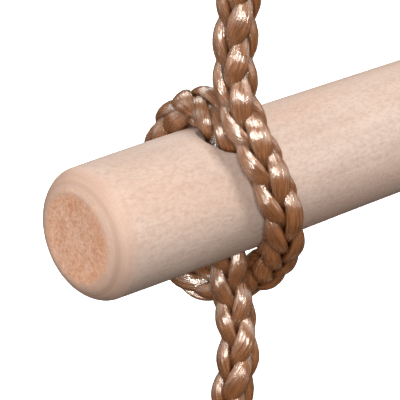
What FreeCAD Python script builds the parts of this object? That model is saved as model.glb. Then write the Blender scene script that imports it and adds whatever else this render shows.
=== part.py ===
"""Hanging rope ladder: five drilled round wooden rungs on two braided ropes, hung from two steel rings.

Frame: +X along the rungs, -Y the front, +Z up. The origin lies midway between the two hooks that the
rings hang on, level with the inside top of the rings. Lengths are in millimetres.
"""
import FreeCAD, Part
import Sketcher
import math
import os
import re
from FreeCAD import Placement, Rotation, Vector

DIMENSIONS = {
    "rung_dia": 35.0,
    "rung_length": 380.0,
    "rung_end_drop": 0.8,  # how much the radius tapers towards each end
    "rung_taper": 45.0,
    "rung_end_round": 5.0,
    "rung_count": 5,
    "rung_pitch": 280.0,
    "first_rung_drop": 300.0,
    "rung_behind": 5.8,  # rung axis behind the ring plane
    "hole_dia": 13.0,
    "hole_from_end": 45.8,
    "hole_forward": 3.7,  # hole axis ahead of the rung axis
    "hole_rim_round": 0.8,
    "rope_dia": 10.0,
    "rope_from_end": 44.0,
    "rope_forward": 5.2,  # hanging rope ahead of the ring plane
    "fold_drop": 52.0,  # fold line below each rung axis
    "fold_gap": 0.3,
    "ring_inside": 50.0,
    "ring_wire": 8.0,
    "eye_inside": 12.0,
    "eye_wall": 2.0,
    "seat_gap": 0.2,
    "eye_play": 0.4,
    "eye_leg_angle": 25.0,
    "eye_leg": 24.0,
    "ferrule_top_drop": 115.0,
    "ferrule_length": 28.0,
    "ferrule_wall": 1.6,
    "ferrule_round": 0.8,
    "tail_past_ferrule": 9.0,
    "knot_dia": 27.0,
    "knot_length": 30.0,
    "end_below_knot": 34.0,
}

# The hitch round one end of a rung, on the left side: (x inward from the hanging rope, y behind the
# rung axis, z above it). It comes down ahead of the rung, passes under it and behind its own lower
# rope, climbs the back, and goes over the top into the drilled hole.
HITCH = [
    (0.0, -11.0, 32.0),
    (-0.5, -23.5, 14.5),
    (5.0, -26.5, -8.0),
    (12.5, -12.5, -26.5),
    (10.0, 6.0, -30.0),
    (1.5, 20.0, -23.0),
    (2.5, 27.0, 1.0),
    (1.5, 22.0, 19.0),
    (1.6, 13.0, 26.5),
    (1.7, 3.5, 26.5),
    (1.8, -3.7, 19.3),
    (1.8, -3.0, 1.0),
    (1.7, -5.3, -22.0),
    (0.0, -11.0, -36.0),
]
EYE_CORNERS = 4  # route points round the eye
ARC_SHARE = 0.45  # share of the shorter run that an arc of a route takes
SIDES = {"left": -1, "right": 1}

doc = FreeCAD.newDocument("rope_ladder")


def make_sheet():
    sheet = doc.addObject("Spreadsheet::Sheet", "sheet")
    for row, (name, value) in enumerate(DIMENSIONS.items(), start=1):
        sheet.set(f"A{row}", name)
        sheet.set(f"B{row}", str(value))
        sheet.setAlias(f"B{row}", name)
    doc.recompute()
    return sheet


sheet = make_sheet()


def value(expression):
    """The number that an expression of the sheet's aliases gives."""
    return float(sheet.evalExpression(expression))


def cells(expression):
    """The same expression as an object other than the sheet has to write it."""
    return re.sub(r"[a-z]\w*", lambda alias: f"sheet.{alias[0]}", expression)


# ---------------------------------------------------------------- sketches
def origin_plane(body, role):
    return next(feature for feature in body.Origin.OriginFeatures if feature.Role == role)


def add_sketch(body, name, role):
    sketch = body.newObject("Sketcher::SketchObject", name)
    sketch.AttachmentSupport = [(origin_plane(body, role), "")]
    sketch.MapMode = "FlatFace"
    return sketch


def pin_coordinate(sketch, kind, geometry, position, expression):
    """Holds one coordinate of a sketch point at an expression, or on the axis where that is 0."""
    on_axis = {"DistanceX": -2, "DistanceY": -1}[kind]
    if expression == "0":
        sketch.addConstraint(Sketcher.Constraint("PointOnObject", geometry, position, on_axis))
        return
    size = expression.removeprefix("-")
    ends = (geometry, position, -1, 1) if expression.startswith("-") else (-1, 1, geometry, position)
    index = sketch.addConstraint(Sketcher.Constraint(kind, *ends, value(size)))
    sketch.setExpression(f"Constraints[{index}]", cells(size))


def closed_outline(sketch, corners):
    """A closed outline of straight lines; each corner is a pair of expressions."""
    places = [Vector(value(x), value(y), 0) for x, y in corners]
    count = len(corners)
    for i in range(count):
        sketch.addGeometry(Part.LineSegment(places[i], places[(i + 1) % count]), False)
    for i in range(count):
        sketch.addConstraint(Sketcher.Constraint("Coincident", i, 2, (i + 1) % count, 1))
    for i, (x, y) in enumerate(corners):
        pin_coordinate(sketch, "DistanceX", i, 1, x)
        pin_coordinate(sketch, "DistanceY", i, 1, y)


def circle(sketch, x, y, radius):
    centre = Vector(value(x), value(y), 0)
    index = sketch.addGeometry(Part.Circle(centre, Vector(0, 0, 1), value(radius)), False)
    pin_coordinate(sketch, "DistanceX", index, 3, x)
    pin_coordinate(sketch, "DistanceY", index, 3, y)
    held = sketch.addConstraint(Sketcher.Constraint("Radius", index, value(radius)))
    sketch.setExpression(f"Constraints[{held}]", cells(radius))


def revolve(body, sketch, axis):
    revolution = body.newObject("PartDesign::Revolution", "Revolution")
    revolution.Profile = sketch
    revolution.ReferenceAxis = (sketch, [axis])
    revolution.Angle = 360
    return revolution


def round_edges(body, base, name, edges, radius):
    fillet = body.newObject("PartDesign::Fillet", name)
    fillet.Base = (base, edges)
    fillet.setExpression("Radius", cells(radius))
    body.Tip = fillet
    return fillet


def new_body(label):
    body = doc.addObject("PartDesign::Body", label)
    body.Label = label
    return body


# ---------------------------------------------------------------- rungs
def rim_edges(feature):
    """The edges where the drilled holes leave the wood: those that span less than the rung does."""
    wide = value("rung_dia * 0.6")
    names = []
    for index, edge in enumerate(feature.Shape.Edges, start=1):
        box = edge.BoundBox
        if box.XLength > 1 and box.YLength > 1 and box.XLength < wide and box.ZLength < wide / 2:
            names.append(f"Edge{index}")
    return names


def end_edges(feature, x):
    """The circle round each end face."""
    return [
        f"Edge{index}"
        for index, edge in enumerate(feature.Shape.Edges, start=1)
        if edge.BoundBox.XLength < 0.01 and abs(abs(edge.BoundBox.Center.x) - x) < 0.01
    ]


def make_rung(number):
    body = new_body(f"rung_{number}")
    sketch = add_sketch(body, "RungProfile", "XZ_Plane")
    half, radius = "rung_length / 2", "rung_dia / 2"
    at_taper = f"{half} - rung_taper"
    at_end = f"{radius} - rung_end_drop"
    closed_outline(
        sketch,
        [
            (f"-({half})", "0"),
            (f"-({half})", at_end),
            (f"-({at_taper})", radius),
            (at_taper, radius),
            (half, at_end),
            (half, "0"),
        ],
    )
    turned = revolve(body, sketch, "H_Axis")
    doc.recompute()
    ends = end_edges(turned, value(half))
    turned = round_edges(body, turned, "EndRounding", ends, "rung_end_round")
    holes = add_sketch(body, "HoleCircles", "XY_Plane")
    inward = f"{half} - hole_from_end"
    for sign in ("-", ""):
        circle(holes, f"{sign}({inward})", "-hole_forward", "hole_dia / 2")
    drilled = body.newObject("PartDesign::Pocket", "DrilledHoles")
    drilled.Profile = holes
    drilled.Type = "ThroughAll"
    drilled.Midplane = True
    body.Tip = drilled
    doc.recompute()
    removed = turned.Shape.Volume - drilled.Shape.Volume
    print(body.Label, "drilled out", round(removed), "mm3")
    round_edges(body, drilled, "RimRounding", rim_edges(drilled), "hole_rim_round")
    body.Placement = Placement(Vector(0, value("rung_behind"), rung_height(number)), Rotation())
    return body


def rung_height(number):
    return -value("first_rung_drop") - (number - 1) * value("rung_pitch")


# ---------------------------------------------------------------- top fittings
def rope_line(side):
    """How far out along X the rope of one side hangs."""
    return SIDES[side] * value("rung_length / 2 - rope_from_end")


def eye_height():
    """The eye's centre: the eye hangs over the ring's lowest wire, which it clears by eye_play."""
    return -value("ring_inside") + value("eye_play") - value("eye_inside")


def eye_radius():
    """The radius that the rope's centreline takes round the eye."""
    return value("eye_inside + eye_wall + seat_gap + rope_dia / 2")


def make_ring(side):
    ring = doc.addObject("Part::Torus", f"ring_{side}")
    ring.Label = f"ring_{side}"
    ring.setExpression("Radius1", cells("ring_inside / 2 + ring_wire / 2"))
    ring.setExpression("Radius2", cells("ring_wire / 2"))
    centre = Vector(rope_line(side), 0, -value("ring_inside / 2"))
    ring.Placement = Placement(centre, Rotation(Vector(1, 0, 0), 90))
    return ring


def make_thimble(side):
    """A half-round steel channel bent into a teardrop, round an eye centred on its own origin."""
    seat = value("rope_dia / 2 + seat_gap")
    outside = seat + value("eye_wall")
    radius = eye_radius()
    middle = Vector(0, radius, 0)
    across, inward = Vector(1, 0, 0), Vector(0, -1, 0)
    outer = Part.Arc(middle - across * outside, middle + inward * outside, middle + across * outside)
    inner = Part.Arc(middle + across * seat, middle + inward * seat, middle - across * seat)
    lips = [
        Part.LineSegment(outer.EndPoint, inner.StartPoint),
        Part.LineSegment(inner.EndPoint, outer.StartPoint),
    ]
    edges = [outer.toShape(), lips[0].toShape(), inner.toShape(), lips[1].toShape()]
    section = Part.Face(Part.Wire(edges))
    lean = value("eye_leg_angle")
    section.rotate(Vector(0, 0, 0), Vector(1, 0, 0), -lean)
    bow = section.revolve(Vector(0, 0, 0), Vector(1, 0, 0), 180 + 2 * lean)
    slope = math.radians(lean)
    down_leg = Vector(0, -math.sin(slope), -math.cos(slope)) * value("eye_leg")
    leg = section.extrude(down_leg)
    other_leg = leg.mirror(Vector(0, 0, 0), Vector(0, 1, 0))
    thimble = doc.addObject("Part::Feature", f"thimble_{side}")
    thimble.Label = f"thimble_{side}"
    thimble.Shape = bow.fuse([leg, other_leg]).removeSplitter()
    thimble.Placement = Placement(Vector(rope_line(side), 0, eye_height()), Rotation())
    return thimble


def slot_outline(sketch, radius):
    """A slot round the eye's two legs: half circles on the leg axes, joined by straight sides."""
    reach, size = value("rope_forward"), value(radius)
    right, left = Vector(0, reach, 0), Vector(0, -reach, 0)
    up = Vector(0, 0, 1)
    sketch.addGeometry(Part.ArcOfCircle(Part.Circle(right, up, size), 0, math.pi), False)
    sketch.addGeometry(Part.ArcOfCircle(Part.Circle(left, up, size), math.pi, 2 * math.pi), False)
    sketch.addGeometry(Part.LineSegment(Vector(-size, reach, 0), Vector(-size, -reach, 0)), False)
    sketch.addGeometry(Part.LineSegment(Vector(size, -reach, 0), Vector(size, reach, 0)), False)
    for joint in ((0, 2, 2, 1), (2, 2, 1, 1), (1, 2, 3, 1), (3, 2, 0, 1)):
        sketch.addConstraint(Sketcher.Constraint("Tangent", *joint))
    pin_coordinate(sketch, "DistanceX", 0, 3, "0")
    pin_coordinate(sketch, "DistanceX", 1, 3, "0")
    pin_coordinate(sketch, "DistanceY", 0, 3, "rope_forward")
    pin_coordinate(sketch, "DistanceY", 1, 3, "-rope_forward")
    held = sketch.addConstraint(Sketcher.Constraint("Radius", 0, size))
    sketch.setExpression(f"Constraints[{held}]", cells(radius))


def make_ferrule(side):
    body = new_body(f"ferrule_{side}")
    outside = add_sketch(body, "OuterSlot", "XY_Plane")
    slot_outline(outside, "rope_dia / 2 + seat_gap + ferrule_wall")
    sleeve = body.newObject("PartDesign::Pad", "Sleeve")
    sleeve.Profile = outside
    sleeve.setExpression("Length", cells("ferrule_length"))
    doc.recompute()
    rims = [
        f"Edge{index}"
        for index, edge in enumerate(sleeve.Shape.Edges, start=1)
        if edge.BoundBox.ZLength < 0.01
    ]
    rounded = round_edges(body, sleeve, "EndRounding", rims, "ferrule_round")
    inside = add_sketch(body, "InnerSlot", "XY_Plane")
    slot_outline(inside, "rope_dia / 2 + seat_gap")
    bore = body.newObject("PartDesign::Pocket", "Bore")
    bore.Profile = inside
    bore.Type = "ThroughAll"
    bore.Midplane = True
    body.Tip = bore
    doc.recompute()
    print(body.Label, "bored out", round(rounded.Shape.Volume - bore.Shape.Volume), "mm3")
    bottom = -value("ferrule_top_drop + ferrule_length")
    body.Placement = Placement(Vector(rope_line(side), 0, bottom), Rotation())
    return body


# ---------------------------------------------------------------- ropes
def eye_route(side):
    """From the cut end beside the ferrule up round the eye and back to where the two legs meet."""
    x, aside = rope_line(side), value("rope_forward")
    radius, middle = eye_radius(), eye_height()
    lean = math.radians(value("eye_leg_angle"))
    step = (math.pi + 2 * lean) / EYE_CORNERS
    corner = radius / math.cos(step / 2)
    to_splice = (radius * math.cos(lean) - aside) / math.tan(lean) + radius * math.sin(lean)
    splice = middle - to_splice
    cut_end = -value("ferrule_top_drop + ferrule_length + tail_past_ferrule")
    route = [Vector(x, aside, cut_end), Vector(x, aside, splice)]
    for i in range(EYE_CORNERS):
        angle = -lean + (i + 0.5) * step
        route.append(Vector(x, corner * math.cos(angle), middle + corner * math.sin(angle)))
    return route + [Vector(x, -aside, splice)]


def hitch_route(side, number):
    x, y, z = rope_line(side), value("rung_behind"), rung_height(number)
    return [Vector(x - SIDES[side] * i, y + b, z + h) for i, b, h in HITCH]


def fold_point(side, number):
    """The point on the rope that the fold line below a rung crosses."""
    drop = value("fold_drop")
    return Vector(rope_line(side), -value("rope_forward"), rung_height(number) - drop)


def rope_route(side, number):
    """One bay of rope, from the eye or the fold line above a rung to just above the one below it."""
    start = eye_route(side) if number == 1 else [fold_point(side, number - 1)]
    stop = fold_point(side, number) + Vector(0, 0, value("rope_dia / 2 + fold_gap"))
    return start + hitch_route(side, number) + [stop]


def rounded_wire(route):
    """Straight runs joined by tangent arcs, each as large as its two runs allow; and the radii."""
    runs = [(b - a).Length for a, b in zip(route, route[1:])]
    edges, radii, last = [], [], route[0]
    for i in range(1, len(route) - 1):
        corner = route[i]
        back = (route[i - 1] - corner).normalize()
        ahead = (route[i + 1] - corner).normalize()
        half_turn = (math.pi - back.getAngle(ahead)) / 2
        cut = ARC_SHARE * min(runs[i - 1], runs[i])
        radius = cut / math.tan(half_turn)
        middle = corner + (back + ahead).normalize() * (radius / math.cos(half_turn) - radius)
        start, end = corner + back * cut, corner + ahead * cut
        edges.append(Part.LineSegment(last, start).toShape())
        edges.append(Part.Arc(start, middle, end).toShape())
        radii.append(radius)
        last = end
    edges.append(Part.LineSegment(last, route[-1]).toShape())
    return Part.Wire(edges), radii


def make_rope(side, number):
    wire, radii = rounded_wire(rope_route(side, number))
    first = wire.Edges[0]
    start = first.valueAt(first.FirstParameter)
    heading = first.tangentAt(first.FirstParameter)
    radius = value("rope_dia / 2")
    section = Part.Wire([Part.Circle(start, heading, radius).toShape()])
    tube = wire.makePipeShell([section], True, True)
    if number > 1:
        tube = tube.fuse(Part.makeSphere(radius, start)).removeSplitter()
    rope = doc.addObject("Part::Feature", f"rope_{side}_{number}")
    rope.Label = f"rope_{side}_{number}"
    rope.Shape = tube
    rope.Placement = Placement()
    expected = math.pi * radius**2 * wire.Length + (2 / 3 * math.pi * radius**3 if number > 1 else 0)
    print(
        rope.Label, "length", round(wire.Length), "mm, volume",
        f"{tube.Volume / expected:.4f} of section times length, radii",
        " ".join(f"{r:.0f}" for r in radii),
    )
    return rope


def make_rope_end(side):
    """The stopper knot below the last rung with the rope's end hanging out of it."""
    body = new_body(f"rope_end_{side}")
    sketch = add_sketch(body, "KnotProfile", "XZ_Plane")
    rope, knot = "rope_dia / 2", "knot_dia / 2"
    closed_outline(
        sketch,
        [
            ("0", "0"),
            (rope, "0"),
            (knot, "-(knot_length * 0.3)"),
            (knot, "-(knot_length * 0.7)"),
            (rope, "-knot_length"),
            (rope, "-(knot_length + end_below_knot)"),
            ("0", "-(knot_length + end_below_knot)"),
        ],
    )
    revolve(body, sketch, "V_Axis")
    top = fold_point(side, DIMENSIONS["rung_count"]) + Vector(0, 0, value("rope_dia / 2 + fold_gap"))
    body.Placement = Placement(top, Rotation())
    return body


# ---------------------------------------------------------------- the ladder
numbers = range(1, DIMENSIONS["rung_count"] + 1)
pieces = [make_rung(number) for number in numbers]
for side in SIDES:
    pieces += [make_ring(side), make_thimble(side), make_ferrule(side)]
    pieces += [make_rope(side, number) for number in numbers]
    pieces.append(make_rope_end(side))
doc.recompute()

for item in doc.Objects:
    if {"Invalid", "Error"} & set(item.State):
        raise RuntimeError(f"{item.Name} failed: {item.State}")
for piece in pieces:
    if piece.Shape.isNull() or not piece.Shape.isValid() or len(piece.Shape.Solids) != 1:
        raise RuntimeError(f"{piece.Label} isn't one valid solid")

os.makedirs("parts", exist_ok=True)
for piece in pieces:
    piece.Shape.exportStep(f"parts/{piece.Label}.step")
print(len(pieces), "sub-parts written")
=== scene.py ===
"""Looks of the hanging rope ladder: braided ropes, drilled wooden rungs and steel fittings.

Everything is in metres, in the row's frame: +X along the rungs, -Y the front, +Z up.
"""
import math
import bpy
import numpy as np
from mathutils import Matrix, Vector, noise


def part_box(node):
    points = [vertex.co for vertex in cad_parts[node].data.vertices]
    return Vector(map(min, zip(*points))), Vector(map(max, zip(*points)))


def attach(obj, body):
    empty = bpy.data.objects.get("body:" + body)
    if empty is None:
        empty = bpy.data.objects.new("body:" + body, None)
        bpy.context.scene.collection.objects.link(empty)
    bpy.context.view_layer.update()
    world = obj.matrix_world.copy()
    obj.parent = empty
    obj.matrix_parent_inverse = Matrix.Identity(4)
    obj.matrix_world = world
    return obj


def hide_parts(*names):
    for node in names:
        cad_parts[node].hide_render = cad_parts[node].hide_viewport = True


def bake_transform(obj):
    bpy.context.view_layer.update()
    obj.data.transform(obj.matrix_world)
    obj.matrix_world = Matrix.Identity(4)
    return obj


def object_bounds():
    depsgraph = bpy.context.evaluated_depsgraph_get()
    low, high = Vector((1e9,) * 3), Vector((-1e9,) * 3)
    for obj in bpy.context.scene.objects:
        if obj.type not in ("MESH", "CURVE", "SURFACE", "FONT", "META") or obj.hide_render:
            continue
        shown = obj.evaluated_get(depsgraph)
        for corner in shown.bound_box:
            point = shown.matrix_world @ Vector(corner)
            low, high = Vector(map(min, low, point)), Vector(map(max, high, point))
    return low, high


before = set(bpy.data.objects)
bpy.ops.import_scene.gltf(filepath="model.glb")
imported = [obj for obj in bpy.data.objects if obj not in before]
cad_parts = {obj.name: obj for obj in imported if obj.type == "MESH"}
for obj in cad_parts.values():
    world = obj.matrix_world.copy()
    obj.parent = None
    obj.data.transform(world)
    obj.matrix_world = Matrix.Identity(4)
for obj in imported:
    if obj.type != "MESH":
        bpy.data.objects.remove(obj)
cad_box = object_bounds()

MM = 0.001
SIDES = {"left": -1, "right": 1}
RUNGS = range(1, 6)
SHOWN = ("left", 3)  # the rung end that the camera looks at

# ---------------------------------------------------------------- places, from the frame
def middle(node):
    low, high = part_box(node)
    return (low + high) / 2


RUNG_RADIUS = (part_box("rung_1")[1].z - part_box("rung_1")[0].z) / 2
RUNG_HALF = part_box("rung_1")[1].x
RUNG_Y = middle("rung_1").y
ROPE_X = middle("ring_right").x
RUNG_Z = {k: middle(f"rung_{k}").z for k in RUNGS}
HOLE = {"inward": 1.8 * MM, "behind": -3.7 * MM, "radius": 6.5 * MM}  # from the hanging rope
HOLE_X = ROPE_X - HOLE["inward"]

# ---------------------------------------------------------------- routes
# Points of the hitch round one rung end: (inward from the hanging rope, behind the rung's axis,
# above it), in mm. It comes down in front, passes under the rung behind its own lower rope, climbs
# the back and goes over the top into the hole.
HITCH = [
    (0.0, -11.0, 90.0),
    (0.5, -11.0, 59.0),
    (-2.3, -10.5, 31.0),
    (-0.8, -20.7, 15.0),
    (3.7, -26.4, -3.0),
    (13.6, -8.7, -23.2),
    (8.9, 4.1, -30.6),
    (4.2, 14.0, -29.0),
    (2.0, 21.4, -14.8),
    (2.5, 21.9, -2.5),
    (4.2, 21.0, 10.4),
    (2.4, 7.0, 22.0),
    (1.6, -1.8, 21.8),
    (1.8, -4.0, 15.5),
    (1.8, -4.0, 2.0),
]
# From inside the hole down to the hanging rope.
LEAVING = [
    (1.8, -4.0, 2.0),
    (1.8, -4.0, -10.0),
    (2.7, -6.3, -28.0),
    (1.3, -11.3, -41.0),
    (-1.7, -9.5, -60.5),
    (0.0, -11.0, -90.0),
]
# Below the last rung the rope ends in an overhand knot and a short tail.
TAIL = [
    (1.8, -4.0, 2.0),
    (1.8, -4.0, -10.0),
    (2.7, -6.3, -28.0),
    (3.6, -10.8, -41.0),
    (3.6, -10.8, -50.0),
    (-2.0, -14.7, -58.5),
    (-8.5, -16.0, -66.0),
    (-10.0, -9.4, -73.5),
    (-3.8, -1.6, -75.5),
    (5.3, -0.2, -71.5),
    (10.0, -6.6, -65.0),
    (10.0, -15.4, -60.0),
    (5.3, -21.8, -53.5),
    (-3.8, -20.4, -49.5),
    (-10.0, -12.6, -51.5),
    (-8.5, -6.0, -59.0),
    (-2.0, -7.3, -67.0),
    (3.6, -11.2, -75.0),
    (3.4, -11.4, -88.0),
    (2.0, -11.0, -109.5),
]
# The eye at the top, in the plane across the rungs: (behind the hanging rings, above the origin).
EYE = [
    (5.2, -152.0),
    (5.2, -124.0),
    (5.4, -100.0),
    (21.9, -60.2),
    (10.5, -42.4),
    (-10.5, -42.4),
    (-21.9, -60.2),
    (-5.4, -100.0),
    (-5.2, -130.0),
    (-5.2, -175.0),
]


def at_rung(points, side, k):
    """Route points given from one end of a rung, in the row's frame."""
    origin = Vector((SIDES[side] * ROPE_X, RUNG_Y, RUNG_Z[k]))
    inward = -SIDES[side]
    return [origin + Vector((inward * i, b, h)) * MM for i, b, h in points]


def smooth_line(points, spacing):
    """Evenly spaced points along the NURBS spline of a route."""
    curve = bpy.data.curves.new("route", "CURVE")
    curve.dimensions = "3D"
    curve.resolution_u = 32
    spline = curve.splines.new("NURBS")
    spline.points.add(len(points) - 1)
    for place, point in zip(spline.points, points):
        place.co = (*point, 1.0)
    spline.order_u = 3
    spline.use_endpoint_u = True
    holder = bpy.data.objects.new("route", curve)
    mesh = bpy.data.meshes.new_from_object(holder)
    line = np.array([v.co for v in mesh.vertices])
    bpy.data.objects.remove(holder)
    bpy.data.meshes.remove(mesh)
    bpy.data.curves.remove(curve)
    along = np.concatenate([[0.0], np.cumsum(np.linalg.norm(np.diff(line, axis=0), axis=1))])
    count = max(int(round(along[-1] / spacing)), 8) + 1
    even = np.linspace(0, along[-1], count)
    return np.stack([np.interp(even, along, line[:, i]) for i in range(3)], axis=1)


# ---------------------------------------------------------------- camera
# All in mm, apart from the two angles.
CAMERA_HEADING, CAMERA_TILT = math.radians(42.58), math.radians(22.77)
CAMERA_INWARD = 9.3  # from the hanging rope to the point on the rung's axis that it is set from
CAMERA_LEFT, CAMERA_DOWN, CAMERA_BACK = 8.97, 4.22, 527.3  # its place from there, in its own view
CAMERA_LENS, CAMERA_SENSOR = 182.3, 36


def make_camera():
    """Looks down at the end of the shown rung from in front and to the left of it."""
    heading, tilt = CAMERA_HEADING, CAMERA_TILT
    right = Vector((math.cos(heading), -math.sin(heading), 0))
    up = Vector((
        math.sin(heading) * math.sin(tilt), math.cos(heading) * math.sin(tilt), math.cos(tilt)
    ))
    forward = right.cross(up) * -1
    side, k = SHOWN
    on_axis = Vector((SIDES[side] * ROPE_X + CAMERA_INWARD * MM, RUNG_Y, RUNG_Z[k]))
    data = bpy.data.cameras.new("camera")
    data.sensor_width = CAMERA_SENSOR
    data.lens = CAMERA_LENS
    data.clip_start = 0.05
    camera = bpy.data.objects.new("camera", data)
    camera.location = (
        on_axis - right * CAMERA_LEFT * MM - up * CAMERA_DOWN * MM - forward * CAMERA_BACK * MM
    )
    camera.rotation_mode = "QUATERNION"
    camera.rotation_quaternion = forward.to_track_quat("-Z", "Y")
    bpy.context.scene.collection.objects.link(camera)
    bpy.context.scene.camera = camera


make_camera()


# ---------------------------------------------------------------- meshes
def piece_from(name, vertices, faces, material):
    """A new smooth-shaded piece; what it rides on and replaces is said where it is made."""
    mesh = bpy.data.meshes.new(name)
    mesh.from_pydata([tuple(v) for v in vertices], [], [tuple(f) for f in faces])
    mesh.polygons.foreach_set("use_smooth", [True] * len(mesh.polygons))
    mesh.materials.append(material)
    mesh.update()
    piece = bpy.data.objects.new(name, mesh)
    bpy.context.scene.collection.objects.link(piece)
    return piece


def add_share(piece, name, values):
    """A number at each point of a piece, for its material to read."""
    piece.data.attributes.new(name, "FLOAT", "POINT").data.foreach_set("value", values)


# ---------------------------------------------------------------- materials
class Nodes:
    """Short calls that build one material's node tree."""

    def __init__(self, name):
        self.material = bpy.data.materials.new(name)
        self.material.use_nodes = True
        self.tree = self.material.node_tree
        self.shader = self.tree.nodes["Principled BSDF"]

    def add(self, kind, inputs=None, **settings):
        node = self.tree.nodes.new(kind)
        for key, value in settings.items():
            setattr(node, key, value)
        for key, value in (inputs or {}).items():
            self.feed(node, key, value)
        return node

    def feed(self, node, key, value):
        if isinstance(value, bpy.types.NodeSocket):
            self.tree.links.new(value, node.inputs[key])
        else:
            node.inputs[key].default_value = value

    def stretched(self, vector, scale):
        mapping = self.add("ShaderNodeMapping", {"Vector": vector, "Scale": scale})
        return mapping.outputs["Vector"]

    def place(self, scale):
        """The object's own coordinates, which move with it, stretched by a scale."""
        return self.stretched(self.add("ShaderNodeTexCoord").outputs["Object"], scale)

    def noise(self, vector, scale, detail=3.0, roughness=0.5):
        node = self.add(
            "ShaderNodeTexNoise",
            {"Vector": vector, "Scale": scale, "Detail": detail, "Roughness": roughness},
        )
        return node.outputs["Fac"]

    def ramp(self, factor, *stops):
        node = self.add("ShaderNodeValToRGB", {"Fac": factor})
        elements = node.color_ramp.elements
        while len(elements) < len(stops):
            elements.new(0.5)
        for element, (place, colour) in zip(elements, stops):
            element.position = place
            element.color = (*colour, 1.0)
        return node.outputs["Color"]

    def mix(self, factor, first, second, blend="MIX"):
        node = self.add("ShaderNodeMix", data_type="RGBA", blend_type=blend)
        self.feed(node, 0, factor)
        for index, value in ((6, first), (7, second)):
            colour = value if isinstance(value, bpy.types.NodeSocket) else (*value, 1.0)
            self.feed(node, index, colour)
        return node.outputs[2]

    def between(self, value, low, high):
        """0 where a value is at its low, 1 where it is at its high."""
        inputs = {"Value": value, "From Min": low, "From Max": high}
        return self.add("ShaderNodeMapRange", inputs).outputs["Result"]

    def maths(self, operation, first, second):
        node = self.add("ShaderNodeMath", operation=operation)
        self.feed(node, 0, first)
        self.feed(node, 1, second)
        return node.outputs[0]

    def bump(self, height, distance, strength=1.0, onto=None):
        inputs = {"Height": height, "Distance": distance, "Strength": strength}
        if onto is not None:
            inputs["Normal"] = onto
        return self.add("ShaderNodeBump", inputs).outputs["Normal"]

    def set(self, **inputs):
        for key, value in inputs.items():
            name = key.replace("_", " ")
            if isinstance(value, tuple) and len(value) == 3:
                value = (*value, 1.0)
            self.feed(self.shader, name, value)
        return self.material


def rope_material():
    """Shiny brown fibres that run along each strand, with painted shade that darkens the colour
    deep between the strands and inside the rungs' holes.
    """
    n = Nodes("rope_fibre")
    strand = n.add("ShaderNodeUVMap", uv_map="strand").outputs["UV"]
    fine = n.stretched(strand, (0.03, 1.0, 1.0))
    fibres = n.noise(fine, 7.0, 3.0, 0.7)
    bundles = n.noise(fine, 2.6, 2.0, 0.5)
    broad = n.noise(strand, 0.3, 2.0, 0.5)
    base = n.ramp(
        fibres,
        (0.36, (0.14, 0.043, 0.011)),
        (0.50, (0.235, 0.084, 0.027)),
        (0.64, (0.38, 0.155, 0.058)),
    )
    tint = n.ramp(broad, (0.35, (0.84, 0.80, 0.78)), (0.65, (1.0, 1.0, 1.0)))
    colour = n.mix(1.0, base, tint, "MULTIPLY")
    # Painted shade: the colour is darkened where a point lies deep between the strands or inside a
    # rung's hole.
    painted_shade_mask = n.add("ShaderNodeAttribute", attribute_name="painted_shade_mask").outputs["Fac"]
    deep = n.ramp(painted_shade_mask, (0.68, (0.18, 0.12, 0.09)), (0.95, (1.0, 1.0, 1.0)))
    colour = n.mix(1.0, colour, deep, "MULTIPLY")
    bump = n.bump(bundles, 0.0006, 0.65)
    bump = n.bump(fibres, 0.00022, 0.7, bump)
    rough = n.ramp(fibres, (0.3, (0.31, 0.31, 0.31)), (0.7, (0.19, 0.19, 0.19)))
    tangent = n.add("ShaderNodeTangent", direction_type="UV_MAP", uv_map="strand")
    return n.set(
        Base_Color=colour,
        Roughness=rough,
        Normal=bump,
        Specular_IOR_Level=1.0,
        IOR=2.05,
        Specular_Tint=(1.0, 0.92, 0.82),
        Anisotropic=0.85,
        Anisotropic_Rotation=0.25,
        Tangent=tangent.outputs["Tangent"],
    )


ROPE = rope_material()


# ---------------------------------------------------------------- braid
ROPE_DIAMETER = 10 * MM
STRANDS = 8
EACH_WAY = STRANDS // 2  # half the strands turn one way round the rope, half the other
PITCH = 41 * MM  # one strand's turn round the rope
CORE, SWING = 2.45 * MM, 1.5 * MM  # a strand's middle radius, and how far it moves in and out
LINGER, PEAK = 1.1, 0.25  # how much longer a strand stays on top than underneath
NARROW, WIDE = 1.3 * MM, 3.0 * MM  # half its width underneath and on top
THIN, THICK = 0.85 * MM, 1.75 * MM  # half its depth
LEAF = 1.6  # how pointed the strands look where they come to the top
START_ANGLE = math.radians(87.6)  # where the first strands' top line lies round the rope
PHASE = {3: 2.3 * MM}  # how far along its pattern a bay's rope starts, by the bay's rung
HANG_TURN = math.radians(34)  # how far the braid is turned where it hangs, against the hitches
HANG_ABOVE, HANG_BELOW = 12 * MM, 28 * MM  # how far from a rung's axis it starts to turn
HANG_SOFT = 22 * MM  # the length over which it turns
END_TURN = math.radians(95)  # how far it is turned again shortly before a route's end
END_LENGTH = 24 * MM  # the length over which it turns there, from 1.5 to 0.5 times this before it
UNEVEN = 0.1  # share by which the strands' size wanders
UNEVEN_LENGTH = 6 * MM  # the length over which it does
FINE, PLAIN = (0.6 * MM, 12), (1.0 * MM, 8)  # spacing along a rope and corners round a strand
CLEAR = 0.15 * MM  # kept between the braid and the wood
NEAR, SOFT = 1.0 * MM, 2.0 * MM  # where, beside a rung's surface, the pressing starts and eases
SHADE = 0.55  # the share of its colour's brightness that a strand keeps inside a rung
SHADE_DEPTH, SHADE_SOFT = 2.4 * MM, 3.0 * MM  # full shade from this deep, and how softly it starts
AROUND_STRAND = 8  # a strand's outline in its texture, in mm
FIBRE_SHIFT = (37, 11)  # mm along and round from one strand's fibres to the next one's


def strand_angle(along):
    """How far round the rope a strand has turned after a length: slowly on top, fast below."""
    turn = np.linspace(0, 2 * math.pi, 721)
    length = turn + LINGER / 2 * np.sin(2 * turn) + PEAK / 4 * np.sin(4 * turn)
    whole = np.floor(along / PITCH)
    part = (along / PITCH - whole) * 2 * math.pi
    return np.interp(part, length, turn) + whole * 2 * math.pi


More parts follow.
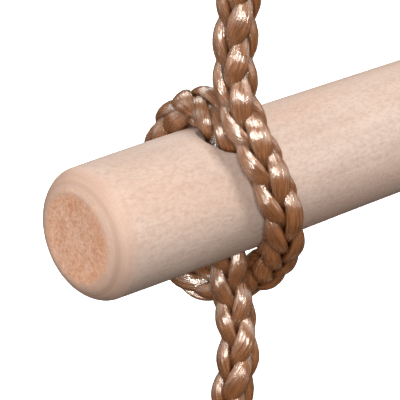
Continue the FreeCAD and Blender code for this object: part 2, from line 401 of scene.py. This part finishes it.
def carried_frames(path, across):
    """Unit vectors along a path and two across it that turn with it but don't twist about it."""
    forward = np.gradient(path, axis=0)
    forward /= np.linalg.norm(forward, axis=1)[:, None]
    first = np.empty_like(path)
    normal = np.array(across, float)
    for i, axis in enumerate(forward):
        normal = normal - axis * normal.dot(axis)
        normal /= np.linalg.norm(normal)
        first[i] = normal
    return forward, first, np.cross(forward, first)


def strand_rows(path, frames, along, strand, corners, start):
    """The outline points of one strand at each step of a path: (steps, corners, 3)."""
    forward, first, second = frames
    way = 1 if strand < EACH_WAY else -1
    lead = (strand % EACH_WAY) * PITCH / EACH_WAY + (0 if way > 0 else PITCH / STRANDS)
    turned = strand_angle(along + lead)
    angle = start + (0 if way > 0 else math.pi / 2) + way * turned
    inside = 0.5 * np.cos(2 * turned) + 0.5 * np.cos(4 * math.pi * (along + lead) / PITCH)
    out = first * np.cos(angle)[:, None] + second * np.sin(angle)[:, None]
    wander = 1 + UNEVEN * np.array(
        [noise.noise((a / UNEVEN_LENGTH, 7.3 * strand, 0.5)) for a in along]
    )
    centre = path + out * (CORE + SWING * inside)[:, None]
    heading = np.gradient(centre, axis=0)
    heading /= np.linalg.norm(heading, axis=1)[:, None]
    side = np.cross(heading, out)
    side /= np.linalg.norm(side, axis=1)[:, None]
    top = np.cross(side, heading)
    leaf = ((1 + inside) / 2) ** LEAF
    half_width = (wander * (NARROW + (WIDE - NARROW) * leaf))[:, None]
    half_depth = (wander * (THIN + (THICK - THIN) * leaf))[:, None]
    ring = np.linspace(0, 2 * math.pi, corners, endpoint=False)
    across = side[:, None, :] * (half_width * np.cos(ring))[:, :, None]
    upright = top[:, None, :] * (half_depth * np.sin(ring))[:, :, None]
    return centre[:, None, :] + across + upright


def eased(share):
    """From 0 to 1 with a soft start and end."""
    share = np.clip(share, 0, 1)
    return share * share * (3 - 2 * share)


def braid_turn(path, rungs, spacing):
    """How far the whole braid is turned about its path, between and at the hitches."""
    hanging = eased((path[:, 2] - RUNG_Z[rungs[-1]] - HANG_ABOVE) / HANG_SOFT)
    if len(rungs) > 1:
        below = RUNG_Z[rungs[0]] - HANG_BELOW - path[:, 2]
        hanging = np.minimum(hanging, eased(below / HANG_SOFT))
    left = (len(path) - 1 - np.arange(len(path))) * spacing
    return HANG_TURN * hanging + END_TURN * eased(1.5 - left / END_LENGTH)


def braid_piece(name, path, spacing, corners, press, shade, shift, start):
    """Eight strands plaited round a path, each over two and under two, as one piece."""
    frames = carried_frames(path, (1, 0, 0))
    along = np.arange(len(path)) * spacing + shift
    count = len(path)
    vertices, faces, uvs, painted_shade_mask = [], [], [], []
    for strand in range(STRANDS):
        rows = press(strand_rows(path, frames, along, strand, corners, start), path)
        vertices.append(rows.reshape(-1, 3))
        # How far out from the path each point lies, lowered inside the rungs, is the mask for the
        # painted shade in the rope's colour.
        far_out = np.linalg.norm(rows - path[:, None, :], axis=2) / (ROPE_DIAMETER / 2)
        painted_shade_mask.append((far_out * shade(rows)).ravel())
        index = strand * count * corners + np.arange(count * corners).reshape(count, corners)
        here, after = index[:-1], index[1:]
        quads = np.stack([here, np.roll(here, -1, 1), np.roll(after, -1, 1), after], axis=2)
        faces += quads.reshape(-1, 4).tolist()
        faces += [index[0][::-1].tolist(), index[-1].tolist()]
        place = np.empty((count - 1, corners, 4, 2))
        place[..., 0] = (along / MM + FIBRE_SHIFT[0] * strand)[:-1, None, None]
        place[:, :, 2:, 0] += spacing / MM
        round_it = np.arange(corners) * AROUND_STRAND / corners + FIBRE_SHIFT[1] * strand
        place[..., 1] = round_it[None, :, None]
        place[:, :, 1:3, 1] += AROUND_STRAND / corners
        uvs += [place.reshape(-1), np.zeros(4 * corners)]
    piece = piece_from(name, np.concatenate(vertices), faces, ROPE)
    layer = piece.data.uv_layers.new(name="strand")
    layer.data.foreach_set("uv", np.concatenate(uvs))
    add_share(piece, "painted_shade_mask", np.concatenate(painted_shade_mask))
    return piece


def pressed_on_rungs(side, rungs):
    """Flattens the braid where it bears on the rungs, and keeps it inside the holes' walls."""

    def press(rows, path):
        moved = rows.copy()
        for k in rungs:
            axis_z = RUNG_Z[k]
            far = np.hypot(path[:, 1] - RUNG_Y, path[:, 2] - axis_z)
            beside = np.clip((far - RUNG_RADIUS - NEAR) / SOFT, 0, 1)[:, None]
            off_y, off_z = moved[:, :, 1] - RUNG_Y, moved[:, :, 2] - axis_z
            reach = np.hypot(off_y, off_z)
            push = np.clip(RUNG_RADIUS + CLEAR - reach, 0, None) * beside / reach
            moved[:, :, 1] += off_y * push
            moved[:, :, 2] += off_z * push
            within = np.clip((RUNG_RADIUS + NEAR - far) / SOFT, 0, 1)[:, None]
            off_x = moved[:, :, 0] - SIDES[side] * HOLE_X
            off_y = moved[:, :, 1] - RUNG_Y - HOLE["behind"]
            wide = np.hypot(off_x, off_y)
            over = np.clip(wide - HOLE["radius"] + CLEAR, 0, None)
            pull = over * within / np.maximum(wide, MM)
            moved[:, :, 0] -= off_x * pull
            moved[:, :, 1] -= off_y * pull
        return moved

    return press


def shaded_in_holes(rungs):
    """Gives the share of its brightness that each point of a braid keeps: less inside a rung."""

    def shade(rows):
        share = np.ones(rows.shape[:2])
        for k in rungs:
            reach = np.hypot(rows[:, :, 1] - RUNG_Y, rows[:, :, 2] - RUNG_Z[k])
            out = np.clip((reach - RUNG_RADIUS + SHADE_DEPTH) / SHADE_SOFT, 0, 1)
            share = np.minimum(share, SHADE + (1 - SHADE) * out)
        return share

    return shade


def make_rope(
    name, route, side, rungs, node,
    with_pieces=(), shown=False, body=None, tip=None,
):
    """One stretch of rope, plaited round its route; returns the piece."""
    spacing, corners = FINE if shown else PLAIN
    path = smooth_line(route, spacing)
    step = np.linalg.norm(np.diff(path, axis=0), axis=1).mean()
    shift = PHASE.get(rungs[-1], 0.0)
    start = START_ANGLE + braid_turn(path, rungs, step)
    press, shade = pressed_on_rungs(side, rungs), shaded_in_holes(rungs)
    piece = braid_piece(name, path, step, corners, press, shade, shift, start)
    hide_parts(node)
    pieces = list(with_pieces)
    if tip == "start":
        pieces.append(make_tip(f"{name}_tip", path[0], path[0] - path[4], body))
    if tip == "end":
        pieces.append(make_tip(f"{name}_tip", path[-1], path[-1] - path[-5], body))
    if body:
        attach(piece, body)
    return piece


def make_ropes():
    for side, sign in SIDES.items():
        eye = [Vector((sign * ROPE_X, y * MM, z * MM)) for y, z in EYE]
        make_rope(
            f"rope_{side}_bay_1", eye + at_rung(HITCH, side, 1), side, (1,), f"rope_{side}_1",
            with_pieces=[f"thimble_{side}", f"ferrule_{side}"], body="bay_1", tip="start",
        )
        for k in RUNGS[1:]:
            route = at_rung(LEAVING, side, k - 1) + at_rung(HITCH, side, k)
            shown = (side, k) == SHOWN or (side, k - 1) == SHOWN
            name, node = f"rope_{side}_bay_{k}", f"rope_{side}_{k}"
            bay = make_rope(name, route, side, (k - 1, k), node, shown=shown)
            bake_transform(bay)
        route = at_rung(TAIL, side, 5)
        make_rope(
            f"rope_{side}_tail", route, side, (5,), f"rope_end_{side}",
            body="bay_5", tip="end",
        )


# ---------------------------------------------------------------- rungs
def wood_material():
    """Pale turned wood with fine streaks along the rung, a sanded rounding and sawn end grain."""
    n = Nodes("turned_wood")
    even = n.place((1, 1, 1))
    white = (1.0, 1.0, 1.0)
    streaks = n.noise(n.place((30, 800, 800)), 0.28, 4.0, 0.6)
    pores = n.noise(n.place((220, 800, 800)), 2.2, 2.0, 0.5)
    specks = n.noise(n.place((0.6, 1, 1)), 1100.0, 3.0, 0.65)
    bands = n.noise(n.place((0.25, 1, 1)), 45.0, 3.0, 0.55)
    patches = n.noise(n.place((0.5, 1, 1)), 60.0, 4.0, 0.6)
    colour = n.ramp(
        streaks,
        (0.30, (0.48, 0.375, 0.315)),
        (0.52, (0.52, 0.408, 0.346)),
        (0.72, (0.54, 0.43, 0.365)),
    )
    for pattern, low, high in (
        (pores, (0.32, (0.94, 0.92, 0.91)), (0.44, white)),
        (specks, (0.36, (0.88, 0.86, 0.85)), (0.56, white)),
        (bands, (0.38, (1.0, 0.945, 0.91)), (0.60, (0.97, 0.985, 1.0))),
        (patches, (0.38, (0.93, 0.885, 0.86)), (0.62, white)),
    ):
        colour = n.mix(1.0, colour, n.ramp(pattern, low, high), "MULTIPLY")
    cut = n.noise(even, 1300.0, 4.0, 0.75)
    torn = n.noise(even, 300.0, 4.0, 0.65)
    blotches = n.noise(even, 120.0, 3.0, 0.6)
    end = n.ramp(
        cut,
        (0.33, (0.53, 0.28, 0.17)),
        (0.50, (0.67, 0.41, 0.29)),
        (0.66, (0.76, 0.53, 0.40)),
    )
    for pattern, low, high in (
        (blotches, (0.40, (1.0, 0.91, 0.85)), (0.60, white)),
        (torn, (0.36, (0.90, 0.80, 0.74)), (0.58, white)),
    ):
        end = n.mix(1.0, end, n.ramp(pattern, low, high), "MULTIPLY")
    # "inward" is how far in from its edge, in mm, a point of an end face lies. It is negative on
    # the rounding and along the rung.
    inward = n.add("ShaderNodeAttribute", attribute_name="inward").outputs["Fac"]
    nearness = n.between(inward, -8.0, 0.0)
    ragged = n.maths("ADD", inward, n.maths("MULTIPLY", n.maths("SUBTRACT", torn, 0.5), 2.5))
    raw = n.between(ragged, -0.5, 0.9)
    marks = n.noise(n.place((2600, 25, 25)), 1.0, 1.0, 0.5)
    sanded = n.ramp(nearness, (0.2, (0, 0, 0)), (0.6, (0.8, 0.8, 0.8)), (0.9, (0.95, 0.95, 0.95)))
    smooth = n.ramp(marks, (0.3, (0.40, 0.255, 0.19)), (0.7, (0.465, 0.31, 0.237)))
    colour = n.mix(sanded, colour, smooth)
    crest = n.ramp(nearness, (0.88, (0, 0, 0)), (0.97, (0.3, 0.3, 0.3)))
    colour = n.mix(crest, colour, (0.66, 0.49, 0.40))
    colour = n.mix(raw, colour, end)
    rounding = n.ramp(nearness, (0.3, (0, 0, 0)), (0.5, white), (0.9, white), (0.94, (0, 0, 0)))
    bump = n.bump(n.mix(raw, pores, cut), 0.0003, 0.18)
    bump = n.bump(n.mix(rounding, streaks, marks), 0.0004, 0.3, bump)
    bump = n.bump(n.mix(raw, specks, torn), 0.0005, 0.25, bump)
    rough = n.ramp(streaks, (0.3, (0.60, 0.60, 0.60)), (0.7, (0.48, 0.48, 0.48)))
    return n.set(Base_Color=colour, Roughness=rough, Normal=bump, Specular_IOR_Level=0.4)


WOOD = wood_material()
AROUND = 96  # points round a rung
PATCH_HALF = 11 * MM  # half the length of the patch that each hole's rim is worked into
PATCH_STEPS = 8
FIRST, LAST = -14, 7  # the patch's first and last point, counted round from straight up
ROUND_LONG, ROUND_DEEP, ROUND_POWER = 5.2 * MM, 5.3 * MM, 1.63  # a rung end's rounding
TAPER, TAPER_LENGTH = 0.5 * MM, 45 * MM  # how much thinner a rung is at its end, and from where
LUMPY = 0.12 * MM  # how far a rung's surface wanders from round
DISH = 0.25 * MM  # how far the middle of an end is sawn and sanded in
RIM = 0.9 * MM  # how far the wear at a hole's rim reaches
CHIPS = 0.35 * MM  # how far that wanders
IN_THE_HOLE = -20.0  # what a hole's points have as "inward": far from any end face


def rung_profile():
    """(x, radius, mm in from the end's edge) from the middle of one end to that of the other."""
    half = []
    flat = RUNG_RADIUS - ROUND_DEEP
    for share in np.linspace(0.1, 1.0, 10):
        half.append((RUNG_HALF - DISH * (1 - share ** 3), flat * share, flat * (1 - share) / MM))
    for t in np.linspace(0, math.pi / 2, 9)[1:]:
        deep = ROUND_LONG * (1 - math.cos(t) ** (2 / ROUND_POWER))
        radius = flat + ROUND_DEEP * math.sin(t) ** (2 / ROUND_POWER)
        half.append((RUNG_HALF - deep, radius, -deep / MM))
    start = RUNG_HALF - ROUND_LONG
    stops = [start, HOLE_X + PATCH_HALF, HOLE_X - PATCH_HALF, 0.0]
    counts = [max(1, round((stops[0] - stops[1]) / (3 * MM))), PATCH_STEPS, 24]
    for first, last, count in zip(stops, stops[1:], counts):
        places = np.linspace(first, last, count + 1)[1:]
        half += [(x, RUNG_RADIUS, (x - RUNG_HALF) / MM) for x in places]
    half = [
        (x, r - TAPER * min(1, max(0, 1 - (RUNG_HALF - x) / TAPER_LENGTH)) ** 2, inward)
        for x, r, inward in half
    ]
    return half + [(-x, r, inward) for x, r, inward in half[-2::-1]]


def rim_places(corners, centre, axis_z, way):
    """Points from a patch's edge to the hole's rim and a little way into the hole, ring by ring."""
    hole_x, hole_y = centre
    aims = []
    for corner in corners:
        aim = math.atan2(corner[1] - hole_y, corner[0] - hole_x)
        across, up = math.cos(aim), math.sin(aim)
        worn = RIM + CHIPS * noise.noise((3 * across, 3 * up, 40 * hole_x + way))
        aims.append((corner, across, up, worn))
    rings = []
    for share in (0.25, 0.5, 0.72, 0.88, 1.0):
        ring = []
        for corner, across, up, worn in aims:
            wide = HOLE["radius"] + worn
            rim = (hole_x + wide * across, hole_y + wide * up)
            x, y = (corner[i] * (1 - share) + rim[i] * share for i in (0, 1))
            ring.append((x, y, axis_z + way * rung_top(y)))
        rings.append(ring)
    for turn in (0.35, 0.7, 1.0):
        angle = turn * math.pi / 2
        ring = []
        for _, across, up, worn in aims:
            wide = HOLE["radius"] + worn * (1 - math.sin(angle))
            x, y = hole_x + wide * across, hole_y + wide * up
            ring.append((x, y, axis_z + way * (rung_top(y) - worn * (1 - math.cos(angle)))))
        rings.append(ring)
    return rings


def rung_top(y):
    """How high a rung's surface lies over its axis at a place across it."""
    return math.sqrt(max(RUNG_RADIUS ** 2 - (y - RUNG_Y) ** 2, 0))


def patch_outline(rows):
    """(row, column) places round the edge of one hole's patch, in order."""
    first, last = rows
    steps = [(first, c) for c in range(FIRST, LAST)]
    steps += [(r, LAST) for r in range(first, last)]
    steps += [(last, c) for c in range(LAST, FIRST, -1)]
    return steps + [(r, FIRST) for r in range(last, first, -1)]


def make_rung(k):
    """One drilled rung: rounded ends, worn hole rims and the walls of its two holes."""
    profile = rung_profile()
    axis_z = RUNG_Z[k]
    vertices, faces = [], []
    inward = []
    for x, radius, depth in profile:
        inward += [depth] * AROUND
        for c in range(AROUND):
            angle = 2 * math.pi * c / AROUND
            behind, up = math.sin(angle), math.cos(angle)
            out = radius + LUMPY * noise.noise((x * 25, up, behind + 7 * k))
            vertices.append((x, RUNG_Y + out * behind, axis_z + out * up))
    holes = []
    for sign in (1, -1):
        rows = [
            i for i, (x, _, _) in enumerate(profile) if abs(x - sign * HOLE_X) < PATCH_HALF + 1e-6
        ]
        holes.append((sign, (rows[0], rows[-1])))

    def index(row, column):
        return row * AROUND + column % AROUND

    def in_patch(row, column):
        for _, (first, last) in holes:
            if first <= row < last:
                for low in (FIRST, AROUND // 2 - LAST):
                    if 0 <= (column - low) % AROUND < LAST - FIRST:
                        return True
        return False

    for row in range(len(profile) - 1):
        for c in range(AROUND):
            if not in_patch(row, c):
                corners = ((row, c), (row, c + 1), (row + 1, c + 1), (row + 1, c))
                faces.append(tuple(index(r, column) for r, column in corners))
    for row, order in ((0, 1), (len(profile) - 1, -1)):
        middle_point = len(vertices)
        vertices.append((profile[row][0], RUNG_Y, axis_z))
        inward.append(profile[row][2])
        for c in range(AROUND):
            faces.append((middle_point, *((index(row, c + 1), index(row, c))[::order])))

    for sign, rows in holes:
        outline = patch_outline(rows)
        centre = (sign * HOLE_X, RUNG_Y + HOLE["behind"])
        inner = []
        for way in (1, -1):
            edge = [index(r, c if way > 0 else AROUND // 2 - c) for r, c in outline]
            ring = edge
            for places in rim_places([vertices[i] for i in edge], centre, axis_z, way):
                start = len(vertices)
                vertices += places
                after = list(range(start, start + len(places)))
                faces += bridge(ring, after, way < 0)
                ring = after
            inner.append(ring)
        ring = inner[0]
        upper, lower = [[vertices[i] for i in side] for side in inner]
        for share in (0.2, 0.4, 0.6, 0.8):
            start = len(vertices)
            vertices += [
                tuple(a * (1 - share) + b * share for a, b in zip(high, low))
                for high, low in zip(upper, lower)
            ]
            after = list(range(start, start + len(upper)))
            faces += bridge(ring, after, False)
            ring = after
        faces += bridge(ring, inner[1], False)
    piece = piece_from(f"wood_{k}", vertices, faces, WOOD)
    inward += [IN_THE_HOLE] * (len(vertices) - len(inward))
    add_share(piece, "inward", inward)
    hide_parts(f"rung_{k}")
    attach(piece, f"bay_{k}")


def bridge(ring, after, flip):
    """Quads between two rings of the same number of points."""
    count = len(ring)
    quads = []
    for i in range(count):
        j = (i + 1) % count
        quad = (ring[i], ring[j], after[j], after[i])
        quads.append(quad[::-1] if flip else quad)
    return quads


for k in RUNGS:
    make_rung(k)


# ---------------------------------------------------------------- fittings
def steel_material():
    """Galvanised steel: faint crystals and dull patches."""
    n = Nodes("galvanised_steel")
    where = n.place((1, 1, 1))
    spangle = n.add("ShaderNodeTexVoronoi", {"Vector": where, "Scale": 320.0}).outputs["Color"]
    flake = n.add("ShaderNodeSeparateColor", {"Color": spangle}).outputs["Red"]
    dull = n.noise(where, 140.0, 4.0, 0.6)
    fine = n.noise(where, 2200.0, 3.0, 0.6)
    colour = n.ramp(flake, (0.1, (0.46, 0.47, 0.48)), (0.9, (0.60, 0.61, 0.62)))
    grey = n.ramp(dull, (0.35, (0.80, 0.79, 0.77)), (0.6, (1.0, 1.0, 1.0)))
    colour = n.mix(1.0, colour, grey, "MULTIPLY")
    rough = n.ramp(dull, (0.3, (0.48, 0.48, 0.48)), (0.7, (0.30, 0.30, 0.30)))
    bump = n.bump(fine, 0.0001, 0.3, n.bump(dull, 0.0003, 0.3))
    return n.set(Base_Color=colour, Metallic=1.0, Roughness=rough, Normal=bump)


def sleeve_material():
    """Drawn aluminium with the ridges that the press leaves."""
    n = Nodes("pressed_aluminium")
    where = n.place((1, 1, 1))
    drawn = n.noise(n.place((900, 900, 25)), 1.0, 3.0, 0.6)
    inputs = {"Vector": where, "Scale": 55.0, "Distortion": 0.4, "Detail": 1.0}
    wave = n.add("ShaderNodeTexWave", inputs, wave_type="BANDS", bands_direction="Z")
    press = wave.outputs["Fac"]
    scuff = n.noise(where, 260.0, 4.0, 0.7)
    colour = n.ramp(scuff, (0.32, (0.62, 0.62, 0.61)), (0.6, (0.80, 0.80, 0.79)))
    rough = n.ramp(drawn, (0.3, (0.42, 0.42, 0.42)), (0.7, (0.26, 0.26, 0.26)))
    bump = n.bump(drawn, 0.0001, 0.4, n.bump(press, 0.0005, 0.5))
    return n.set(Base_Color=colour, Metallic=1.0, Roughness=rough, Normal=bump)


def melted_material():
    """Rope melted to dark, glossy plastic."""
    n = Nodes("melted_rope")
    lumps = n.noise(n.place((1, 1, 1)), 700.0, 3.0, 0.6)
    colour = n.ramp(lumps, (0.35, (0.05, 0.018, 0.008)), (0.65, (0.16, 0.065, 0.028)))
    rough = n.ramp(lumps, (0.3, (0.34, 0.34, 0.34)), (0.7, (0.18, 0.18, 0.18)))
    return n.set(Base_Color=colour, Roughness=rough, Normal=n.bump(lumps, 0.0006, 0.5))


STEEL, SLEEVE, MELTED = steel_material(), sleeve_material(), melted_material()
# A melted end's outline: (out along the rope, radius), in mm.
TIP_PROFILE = [
    (-7.0, 4.2),
    (-6.6, 5.0),
    (-5.0, 5.25),
    (-3.0, 5.2),
    (-1.2, 5.0),
    (0.2, 4.3),
    (0.9, 3.0),
    (1.2, 1.4),
]


def make_ring(side):
    """The hanging ring: bent from round bar, with a weld on its outer side where the ends meet."""
    low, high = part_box(f"ring_{side}")
    centre = (low + high) / 2
    bar = (high.y - low.y) / 2
    radius = (high.z - low.z) / 2 - bar
    around, across = 128, 20
    vertices = []
    for i in range(around):
        turn = 2 * math.pi * i / around
        place = Vector((math.cos(turn), 0, math.sin(turn)))
        from_weld = radius * min(turn, 2 * math.pi - turn)
        # The weld's bead, and the bar a little thinner on each side of it.
        bead = math.exp(-(from_weld / (2.6 * MM)) ** 4)
        neck = math.exp(-((from_weld - 5.0 * MM) / (1.6 * MM)) ** 2)
        for j in range(across):
            angle = 2 * math.pi * j / across
            lump = noise.noise((9 * math.cos(angle), 9 * math.sin(angle), from_weld * 900))
            size = bar + bead * (0.7 + 0.25 * lump) * MM - neck * 0.15 * MM
            if math.cos(angle) < -0.5:  # the bead is lower on the inside of the ring
                size = min(size, bar + 0.3 * MM)
            out = place * (radius + size * math.cos(angle))
            vertices.append(centre + SIDES[side] * out + Vector((0, size * math.sin(angle), 0)))
    faces = []
    for i in range(around):
        ring = [i * across + j for j in range(across)]
        after = [((i + 1) % around) * across + j for j in range(across)]
        faces += bridge(ring, after, SIDES[side] < 0)
    piece = piece_from(f"hanging_ring_{side}", vertices, faces, STEEL)
    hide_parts(f"ring_{side}")
    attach(piece, "rings")


def make_tip(name, end, way, body):
    """A rope's cut end, melted into one rounded lump with drips down its sides."""
    axis = Vector(way).normalized()
    first = axis.orthogonal().normalized()
    second = axis.cross(first)
    around = 28
    vertices = []
    for along, radius in TIP_PROFILE:
        for j in range(around):
            angle = 2 * math.pi * j / around
            across, up = math.cos(angle), math.sin(angle)
            lump = noise.noise((2.2 * across, 2.2 * up, along * 0.25 + len(name)))
            drip = along - (1.6 * lump if along < -4 else 0.3 * lump)
            out = radius * (1 + 0.05 * lump) * MM
            vertices.append(Vector(end) + axis * drip * MM + (first * across + second * up) * out)
    faces = []
    for i in range(len(TIP_PROFILE) - 1):
        ring = [i * around + j for j in range(around)]
        faces += bridge(ring, [a + around for a in ring], False)
    faces.append(list(range(around))[::-1])
    faces.append(list(range(len(vertices) - around, len(vertices))))
    piece = piece_from(name, vertices, faces, MELTED)
    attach(piece, body)
    return piece


def make_fittings():
    """The rings are new; the thimbles and ferrules are the CAD's own, with new materials."""
    for side in SIDES:
        make_ring(side)
        for node, material in ((f"thimble_{side}", STEEL), (f"ferrule_{side}", SLEEVE)):
            for slot in bpy.data.objects[node].material_slots:
                slot.material = material


make_fittings()
make_ropes()


# ---------------------------------------------------------------- stage
STAGE_SIZE = 14.0
FLOOR_DROP = 0.08  # from the lowest rope end to the floor
DOME_AROUND, DOME_RINGS = 48, 8  # points round each ring; the first two rings lie flat


def make_stage():
    """A pale floor that runs up into a far pale dome on every side."""
    z = cad_box[0].z - FLOOR_DROP
    vertices = [(0.0, 0.0, z)]
    for ring in range(1, DOME_RINGS + 1):
        lean = math.pi / 2 * max(0, ring - 2) / (DOME_RINGS - 2)
        out, high = STAGE_SIZE * math.cos(lean), STAGE_SIZE * math.sin(lean)
        if ring == 1:
            out, high = STAGE_SIZE / 2, 0.0
        for i in range(DOME_AROUND):
            turn = 2 * math.pi * i / DOME_AROUND
            vertices.append((out * math.cos(turn), out * math.sin(turn), z + high))
    faces = [(0, 1 + i, 1 + (i + 1) % DOME_AROUND) for i in range(DOME_AROUND)]
    rings = [range(1 + r * DOME_AROUND, 1 + (r + 1) * DOME_AROUND) for r in range(DOME_RINGS)]
    for ring, after in zip(rings, rings[1:]):
        faces += bridge(ring, after, True)
    mesh = bpy.data.meshes.new("floor")
    mesh.from_pydata(vertices, [], faces)
    n = Nodes("floor_paint")
    grain = n.noise(n.place((1, 1, 1)), 3.0, 2.0)
    colour = n.ramp(grain, (0.3, (0.90, 0.90, 0.90)), (0.7, (0.93, 0.93, 0.93)))
    mesh.materials.append(n.set(
        Base_Color=colour, Roughness=0.9, Emission_Color=(1.0, 1.0, 1.0), Emission_Strength=1.0
    ))
    floor = bpy.data.objects.new("floor", mesh)
    bpy.context.scene.collection.objects.link(floor)
    floor.visible_diffuse = False
    floor.visible_glossy = False
    floor.visible_shadow = False


LIGHTS_AWAY = 3.2  # metres from the shown rung
# Each soft light: the way to it from the shown rung, and its size and its power for one metre away.
LIGHTS = {
    "key": ((-0.77, -0.84, 0.51), 0.18, 9.3),
    "top": ((-0.10, -0.60, 1.31), 0.28, 7.6),
    "side": ((-1.55, -0.50, 0.31), 0.42, 1.1),
    "fill": ((1.75, -1.40, 0.66), 0.51, 2.4),
    "back": ((0.45, 1.60, 1.36), 0.5, 4.2),
    "far_back": ((-1.2, 1.40, 0.30), 0.5, 1.6),
}
WORLD_BELOW, WORLD_ABOVE = (0.16, 0.11, 0.07), (1.0, 0.87, 0.74)
WORLD_STRENGTH = 0.25


def make_lights():
    side, k = SHOWN
    aim = Vector((SIDES[side] * ROPE_X, RUNG_Y, RUNG_Z[k]))
    for name, (way, size, power) in LIGHTS.items():
        data = bpy.data.lights.new(name, "AREA")
        data.shape = "SQUARE"
        data.size = size * LIGHTS_AWAY
        data.energy = power * LIGHTS_AWAY ** 2
        light = bpy.data.objects.new(name, data)
        light.location = aim + Vector(way).normalized() * LIGHTS_AWAY
        light.rotation_mode = "QUATERNION"
        light.rotation_quaternion = (aim - light.location).to_track_quat("-Z", "Y")
        light.visible_camera = False
        bpy.context.scene.collection.objects.link(light)


def make_world():
    """A dim warm sky, brighter above than below, and colours shown as they are."""
    scene = bpy.context.scene
    scene.view_settings.view_transform = "Standard"
    world = bpy.data.worlds.new("studio")
    world.use_nodes = True
    tree = world.node_tree
    place = tree.nodes.new("ShaderNodeTexCoord")
    height = tree.nodes.new("ShaderNodeSeparateXYZ")
    half = tree.nodes.new("ShaderNodeMapRange")
    half.inputs["From Min"].default_value = -1
    ramp = tree.nodes.new("ShaderNodeValToRGB")
    low, high = ramp.color_ramp.elements
    low.position, high.position = 0.0, 0.7
    low.color, high.color = (*WORLD_BELOW, 1), (*WORLD_ABOVE, 1)
    tree.links.new(place.outputs["Generated"], height.inputs[0])
    tree.links.new(height.outputs["Z"], half.inputs["Value"])
    tree.links.new(half.outputs["Result"], ramp.inputs["Fac"])
    tree.links.new(ramp.outputs["Color"], tree.nodes["Background"].inputs["Color"])
    tree.nodes["Background"].inputs["Strength"].default_value = WORLD_STRENGTH
    scene.world = world


make_stage()
make_lights()
make_world()
